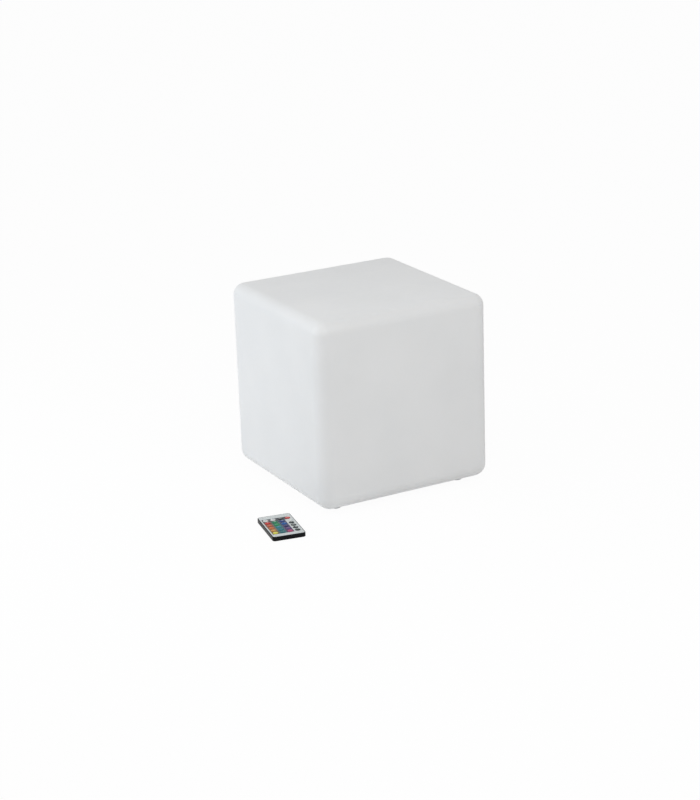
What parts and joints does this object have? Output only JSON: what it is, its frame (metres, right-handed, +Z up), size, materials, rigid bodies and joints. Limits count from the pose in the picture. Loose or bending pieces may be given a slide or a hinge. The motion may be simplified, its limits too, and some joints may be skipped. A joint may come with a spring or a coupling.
{
  "type": "cube light",
  "caption": "Glowing rounded cube for garden or porch with a sealed light module under it and a flat infrared handset with domed keys.",
  "frame": {"origin": "on the floor, under the middle of the cube; the middle of the light module's flat underside is 2.8 mm above it", "axes": "+Z up, square to the cube's top; the cube's front faces -Y; +X runs along the front, to the right"},
  "size_m": [0.4043, 0.3417, 0.308],
  "materials": {
    "shell_white": "milky translucent polyethylene, satin, faint orange peel",
    "foot_white": "satin white rubber",
    "module_white": "moulded plastic, fine spark texture",
    "seal_grey": "matt rubber",
    "screw_steel": "plain zinc plated",
    "insert_brass": "turned",
    "dome_frosted": "frosted clear plastic",
    "board_aluminium": "white solder mask on aluminium",
    "lamp_white": "lamp body with a yellow window",
    "board_green": "green solder mask",
    "component_black": "moulded black",
    "cell_wrap": "shrink wrap",
    "holder_black": "moulded black",
    "button_grey": "soft satin rubber",
    "wire_red": "insulation",
    "case_black": "semi gloss black",
    "plate_silver": "printed plastic sheet",
    "mat_grey": "matt silicone",
    "coin_steel": "stamped steel",
    "emitter_clear": "tinted clear epoxy",
    "key_white": "satin silicone",
    "key_black": "satin silicone",
    "key_red": "satin silicone",
    "key_orange_red": "satin silicone",
    "key_orange": "satin silicone",
    "key_amber": "satin silicone",
    "key_yellow": "satin silicone",
    "key_green": "satin silicone",
    "key_light_green": "satin silicone",
    "key_cyan": "satin silicone",
    "key_teal": "satin silicone",
    "key_dark_teal": "satin silicone",
    "key_navy": "satin silicone",
    "key_blue": "satin silicone",
    "key_violet": "satin silicone",
    "key_purple": "satin silicone",
    "key_pink": "satin silicone",
    "key_dark_grey": "satin silicone"
  },
  "bodies": {
    "lamp": {"cube_shell": "shell_white", "foot_front_left": "foot_white", "foot_front_right": "foot_white", "foot_back_left": "foot_white", "foot_back_right": "foot_white", "module_base": "module_white", "shell_gasket": "seal_grey", "base_screws": "screw_steel", "shell_inserts": "insert_brass", "module_lid": "module_white", "lid_seal": "seal_grey", "lid_screws": "screw_steel", "diffuser_dome": "dome_frosted", "led_board": "board_aluminium", "led_chips": "lamp_white", "ir_receiver": "component_black", "control_board": "board_green", "board_components": "component_black", "battery_cells": "cell_wrap", "battery_holder": "holder_black", "button_switch": "component_black", "charge_socket": "component_black", "port_cover_anchor": "button_grey", "wiring": "wire_red"},
    "power_button": {"power_button": "button_grey"},
    "port_cover": {"port_cover": "button_grey"},
    "remote": {"remote_case_top": "case_black", "remote_case_bottom": "case_black", "remote_faceplate": "plate_silver", "keypad_web": "mat_grey", "remote_board": "board_green", "remote_chip": "component_black", "ir_emitter": "emitter_clear", "cell_contacts": "coin_steel"},
    "battery_tray": {"battery_tray": "case_black", "coin_cell": "coin_steel"},
    "key_r1_c1": {"key_r1_c1": "key_white"},
    "key_r1_c2": {"key_r1_c2": "key_white"},
    "key_r1_c3": {"key_r1_c3": "key_black"},
    "key_r1_c4": {"key_r1_c4": "key_red"},
    "key_r2_c1": {"key_r2_c1": "key_red"},
    "key_r2_c2": {"key_r2_c2": "key_green"},
    "key_r2_c3": {"key_r2_c3": "key_navy"},
    "key_r2_c4": {"key_r2_c4": "key_white"},
    "key_r3_c1": {"key_r3_c1": "key_orange_red"},
    "key_r3_c2": {"key_r3_c2": "key_light_green"},
    "key_r3_c3": {"key_r3_c3": "key_blue"},
    "key_r3_c4": {"key_r3_c4": "key_dark_grey"},
    "key_r4_c1": {"key_r4_c1": "key_orange"},
    "key_r4_c2": {"key_r4_c2": "key_cyan"},
    "key_r4_c3": {"key_r4_c3": "key_violet"},
    "key_r4_c4": {"key_r4_c4": "key_dark_grey"},
    "key_r5_c1": {"key_r5_c1": "key_amber"},
    "key_r5_c2": {"key_r5_c2": "key_teal"},
    "key_r5_c3": {"key_r5_c3": "key_purple"},
    "key_r5_c4": {"key_r5_c4": "key_dark_grey"},
    "key_r6_c1": {"key_r6_c1": "key_yellow"},
    "key_r6_c2": {"key_r6_c2": "key_dark_teal"},
    "key_r6_c3": {"key_r6_c3": "key_pink"},
    "key_r6_c4": {"key_r6_c4": "key_dark_grey"}
  },
  "joints": [
    {"name": "power_button_press", "type": "slide", "parent": "lamp", "child": "power_button", "axis": [0, 0, 1], "range_m": [0, 0.001], "stiffness_N_per_m": 1500},
    {"name": "port_cover_swing", "type": "hinge", "parent": "lamp", "child": "port_cover", "pos_m": [0.012, -0.025, 0.0041], "axis": [0, 1, 0], "range_deg": [0, 110]},
    {"name": "remote_lift", "type": "slide", "parent": "lamp", "child": "remote", "axis": [0, 0, 1], "range_m": [0, 0.25]},
    {"name": "battery_tray_slide", "type": "slide", "parent": "remote", "child": "battery_tray", "axis": [-0.1736, -0.9848, 0], "range_m": [0, 0.03]},
    {"name": "press_key_r1_c1", "type": "slide", "parent": "remote", "child": "key_r1_c1", "axis": [0, 0, -1], "range_m": [0, 0.0005], "stiffness_N_per_m": 600},
    {"name": "press_key_r1_c2", "type": "slide", "parent": "remote", "child": "key_r1_c2", "axis": [0, 0, -1], "range_m": [0, 0.0005], "stiffness_N_per_m": 600},
    {"name": "press_key_r1_c3", "type": "slide", "parent": "remote", "child": "key_r1_c3", "axis": [0, 0, -1], "range_m": [0, 0.0005], "stiffness_N_per_m": 600},
    {"name": "press_key_r1_c4", "type": "slide", "parent": "remote", "child": "key_r1_c4", "axis": [0, 0, -1], "range_m": [0, 0.0005], "stiffness_N_per_m": 600},
    {"name": "press_key_r2_c1", "type": "slide", "parent": "remote", "child": "key_r2_c1", "axis": [0, 0, -1], "range_m": [0, 0.0005], "stiffness_N_per_m": 600},
    {"name": "press_key_r2_c2", "type": "slide", "parent": "remote", "child": "key_r2_c2", "axis": [0, 0, -1], "range_m": [0, 0.0005], "stiffness_N_per_m": 600},
    {"name": "press_key_r2_c3", "type": "slide", "parent": "remote", "child": "key_r2_c3", "axis": [0, 0, -1], "range_m": [0, 0.0005], "stiffness_N_per_m": 600},
    {"name": "press_key_r2_c4", "type": "slide", "parent": "remote", "child": "key_r2_c4", "axis": [0, 0, -1], "range_m": [0, 0.0005], "stiffness_N_per_m": 600},
    {"name": "press_key_r3_c1", "type": "slide", "parent": "remote", "child": "key_r3_c1", "axis": [0, 0, -1], "range_m": [0, 0.0005], "stiffness_N_per_m": 600},
    {"name": "press_key_r3_c2", "type": "slide", "parent": "remote", "child": "key_r3_c2", "axis": [0, 0, -1], "range_m": [0, 0.0005], "stiffness_N_per_m": 600},
    {"name": "press_key_r3_c3", "type": "slide", "parent": "remote", "child": "key_r3_c3", "axis": [0, 0, -1], "range_m": [0, 0.0005], "stiffness_N_per_m": 600},
    {"name": "press_key_r3_c4", "type": "slide", "parent": "remote", "child": "key_r3_c4", "axis": [0, 0, -1], "range_m": [0, 0.0005], "stiffness_N_per_m": 600},
    {"name": "press_key_r4_c1", "type": "slide", "parent": "remote", "child": "key_r4_c1", "axis": [0, 0, -1], "range_m": [0, 0.0005], "stiffness_N_per_m": 600},
    {"name": "press_key_r4_c2", "type": "slide", "parent": "remote", "child": "key_r4_c2", "axis": [0, 0, -1], "range_m": [0, 0.0005], "stiffness_N_per_m": 600},
    {"name": "press_key_r4_c3", "type": "slide", "parent": "remote", "child": "key_r4_c3", "axis": [0, 0, -1], "range_m": [0, 0.0005], "stiffness_N_per_m": 600},
    {"name": "press_key_r4_c4", "type": "slide", "parent": "remote", "child": "key_r4_c4", "axis": [0, 0, -1], "range_m": [0, 0.0005], "stiffness_N_per_m": 600},
    {"name": "press_key_r5_c1", "type": "slide", "parent": "remote", "child": "key_r5_c1", "axis": [0, 0, -1], "range_m": [0, 0.0005], "stiffness_N_per_m": 600},
    {"name": "press_key_r5_c2", "type": "slide", "parent": "remote", "child": "key_r5_c2", "axis": [0, 0, -1], "range_m": [0, 0.0005], "stiffness_N_per_m": 600},
    {"name": "press_key_r5_c3", "type": "slide", "parent": "remote", "child": "key_r5_c3", "axis": [0, 0, -1], "range_m": [0, 0.0005], "stiffness_N_per_m": 600},
    {"name": "press_key_r5_c4", "type": "slide", "parent": "remote", "child": "key_r5_c4", "axis": [0, 0, -1], "range_m": [0, 0.0005], "stiffness_N_per_m": 600},
    {"name": "press_key_r6_c1", "type": "slide", "parent": "remote", "child": "key_r6_c1", "axis": [0, 0, -1], "range_m": [0, 0.0005], "stiffness_N_per_m": 600},
    {"name": "press_key_r6_c2", "type": "slide", "parent": "remote", "child": "key_r6_c2", "axis": [0, 0, -1], "range_m": [0, 0.0005], "stiffness_N_per_m": 600},
    {"name": "press_key_r6_c3", "type": "slide", "parent": "remote", "child": "key_r6_c3", "axis": [0, 0, -1], "range_m": [0, 0.0005], "stiffness_N_per_m": 600},
    {"name": "press_key_r6_c4", "type": "slide", "parent": "remote", "child": "key_r6_c4", "axis": [0, 0, -1], "range_m": [0, 0.0005], "stiffness_N_per_m": 600}
  ]
}
